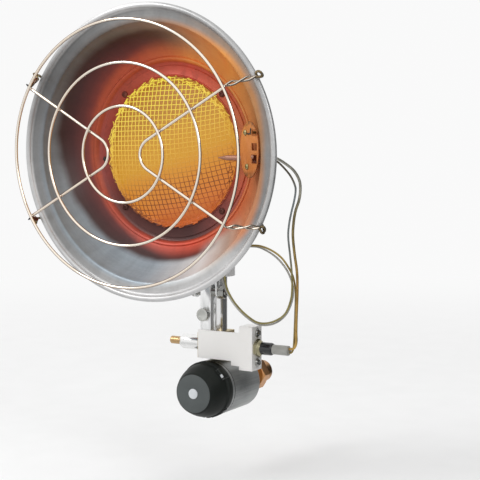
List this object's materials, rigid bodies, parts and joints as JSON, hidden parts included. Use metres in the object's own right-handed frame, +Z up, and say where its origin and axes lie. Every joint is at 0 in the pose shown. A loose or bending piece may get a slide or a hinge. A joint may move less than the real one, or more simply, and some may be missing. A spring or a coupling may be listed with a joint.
{
  "type": "portable propane heater",
  "caption": "Tank-top infrared gas heater: a bowl reflector with wire guard tilts on a post above a push-button valve, a knob-set regulator and a threaded tank inlet.",
  "frame": {"origin": "middle of the tank inlet thread, on its axis", "axes": "+Y points into the tank valve, -Y is the way the heater faces, +Z is up, +X is the viewer's right when facing the burner"},
  "size_m": [0.27, 0.2664, 0.398],
  "materials": {
    "reflector_steel": "aluminised sheet, satin, heat-tinted round the burner",
    "clamp_ring_steel": "heat-reddened steel",
    "dark_fastener": "blackened steel",
    "burner_mesh": "woven heat-resisting wire, glowing",
    "inner_mesh": "woven heat-resisting wire, glowing",
    "plenum_steel": "plain pressed sheet, straw and blue heat tint",
    "feed_steel": "bright plated tube",
    "guard_wire": "bright plated wire with a warm cast",
    "cover_steel": "satin sheet, heat-tinted",
    "cover_screw_brass": "dull brass",
    "probe_steel": "oxidised steel",
    "fitting_brass": "machined brass",
    "bracket_steel": "zinc-plated sheet",
    "plate_steel": "bright zinc-plated sheet",
    "switch_plastic": "moulded, matt",
    "thermocouple_copper": "drawn copper tube, lacquered",
    "return_wire": "gold-brown sheath",
    "switch_wire": "brown-gold sheath",
    "sensor_wire": "grey sheath",
    "valve_brass": "forged and milled brass",
    "button_brass": "turned brass, worn tip",
    "sleeve_nickel": "nickel-plated, turned",
    "magnet_nut_brass": "dull plated brass",
    "insulator_plastic": "black, glossy",
    "lead_sleeve_grey": "grey sleeve",
    "regulator_zinc": "die-cast, bright",
    "seal_rubber": "black rubber",
    "spring_steel": "drawn wire",
    "knob_black": "moulded, semi-gloss with fine turned lines",
    "knob_face_grey": "printed disc, matt",
    "knob_cap_grey": "pale grey cap",
    "thumb_steel": "knurled, plated"
  },
  "bodies": {
    "base": {"channel_post": "bracket_steel", "post_bracket": "bracket_steel", "mixer_tube": "feed_steel", "front_bracket": "plate_steel", "side_screws": "dark_fastener", "valve_block": "valve_brass", "gas_jet": "fitting_brass", "button_sleeve": "sleeve_nickel", "magnet_unit": "sleeve_nickel", "magnet_nut": "magnet_nut_brass", "insulator": "insulator_plastic", "lead_sleeve": "lead_sleeve_grey", "regulator_body": "regulator_zinc", "regulator_bonnet": "regulator_zinc", "bonnet_screws": "dark_fastener", "diaphragm": "seal_rubber", "diaphragm_plate": "regulator_zinc", "inlet_nipple": "fitting_brass", "nose_seal": "seal_rubber", "thermocouple_lead": "thermocouple_copper", "return_lead": "return_wire", "regulator_spring": "spring_steel", "button_spring": "spring_steel"},
    "head": {"reflector_dish": "reflector_steel", "burner_clamp_ring": "clamp_ring_steel", "clamp_screws": "dark_fastener", "outer_screen": "burner_mesh", "inner_screen": "inner_mesh", "burner_plenum": "plenum_steel", "distributor_plate": "plenum_steel", "feed_elbow": "feed_steel", "guard_outer_ring": "guard_wire", "guard_middle_ring": "guard_wire", "guard_inner_ring": "guard_wire", "guard_hairpin_left": "guard_wire", "guard_hairpin_right": "guard_wire", "guard_posts": "guard_wire", "probe_cover": "cover_steel", "probe_cover_screws": "cover_screw_brass", "thermocouple_probe": "probe_steel", "thermocouple_nut": "fitting_brass", "head_bracket": "bracket_steel", "head_bracket_screws": "dark_fastener", "pivot_bolt": "dark_fastener", "pivot_nut": "dark_fastener", "pivot_spacers": "bracket_steel", "tip_switch": "switch_plastic", "sensor_lead": "sensor_wire", "switch_lead": "switch_wire"},
    "knob": {"control_knob": "knob_black", "knob_face_disc": "knob_face_grey", "knob_centre_cap": "knob_cap_grey", "knob_pointer": "knob_black", "adjusting_screw": "fitting_brass"},
    "spring_seat": {"spring_button": "fitting_brass"},
    "inlet_nut": {"hand_nut": "fitting_brass"},
    "clamp_thumb_screw": {"thumb_screw": "thumb_steel"},
    "button": {"push_button": "button_brass", "valve_seal": "seal_rubber"}
  },
  "joints": [
    {"name": "head_tilt", "type": "hinge", "parent": "base", "child": "head", "pos_m": [0, -0.1036, 0.097], "axis": [-1, 0, 0], "range_deg": [-10, 15], "deforming": ["thermocouple_lead", "return_lead"]},
    {"name": "knob_turn", "type": "hinge", "parent": "base", "child": "knob", "pos_m": [0, -0.131, 0], "axis": [0, 1, 0], "range_deg": [0, 270]},
    {"name": "spring_seat_slide", "type": "slide", "parent": "base", "child": "spring_seat", "axis": [0, -1, 0], "range_m": [0, 0.003], "deforming": ["regulator_spring"]},
    {"name": "button_push", "type": "slide", "parent": "base", "child": "button", "axis": [1, 0, 0], "range_m": [0, 0.006], "stiffness_N_per_m": 1200, "springref_m": -0.004, "deforming": ["button_spring"]},
    {"name": "inlet_nut_spin", "type": "hinge", "parent": "base", "child": "inlet_nut", "pos_m": [0, 0, 0], "axis": [0, 1, 0], "continuous": true},
    {"name": "thumb_screw_turn", "type": "hinge", "parent": "base", "child": "clamp_thumb_screw", "pos_m": [0, -0.1108, 0.075], "axis": [0, 1, 0], "continuous": true}
  ],
  "couplings": [
    {"joint": "spring_seat_slide", "follows": "knob_turn", "m_per_rad": 0.0006366}
  ]
}
